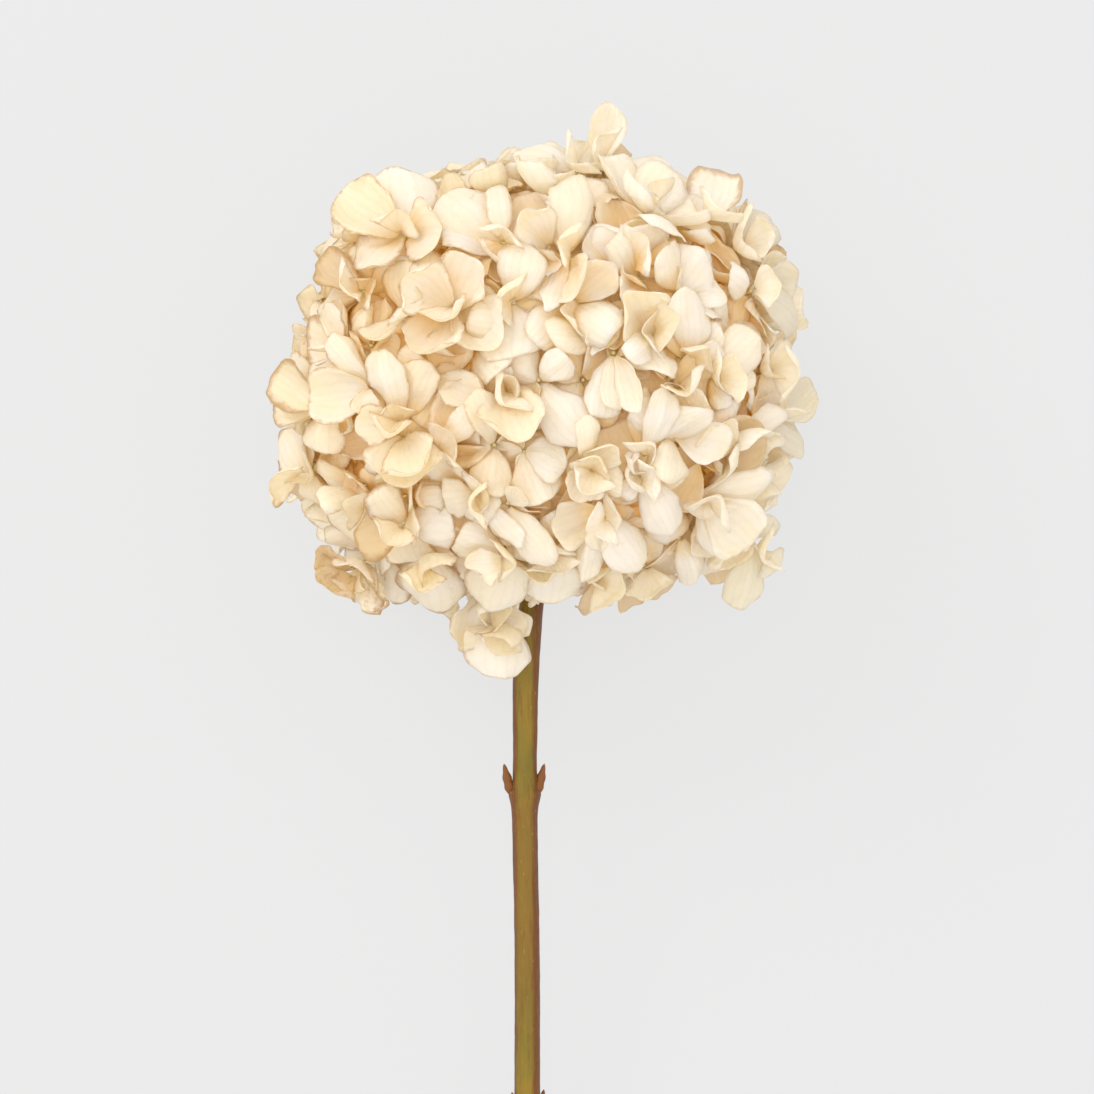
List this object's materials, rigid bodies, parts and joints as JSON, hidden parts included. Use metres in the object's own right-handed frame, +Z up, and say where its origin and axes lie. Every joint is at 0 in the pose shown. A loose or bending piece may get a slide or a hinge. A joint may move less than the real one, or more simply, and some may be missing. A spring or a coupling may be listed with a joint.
{
  "type": "dried hydrangea stem",
  "caption": "Cut woody stem with a full round mophead of papery cream sepals, dried, lying on its side.",
  "frame": {"origin": "the spot on the table under the middle of the flower head, on the sepals it rests on", "axes": "+Z up from the table, +Y along the stem towards the head's top, +X across the head"},
  "size_m": [0.1619, 0.3801, 0.1358],
  "materials": {
    "woody_stem": "smooth dry bark, olive brown",
    "flower_stalk": "dry pale green stalk",
    "dried_sepal": "matte papery, cream, thin and slightly translucent"
  },
  "bodies": {
    "root": {"stem": "woody_stem", "flower_stalks": "flower_stalk", "flower_head": "dried_sepal"}
  },
  "joints": []
}
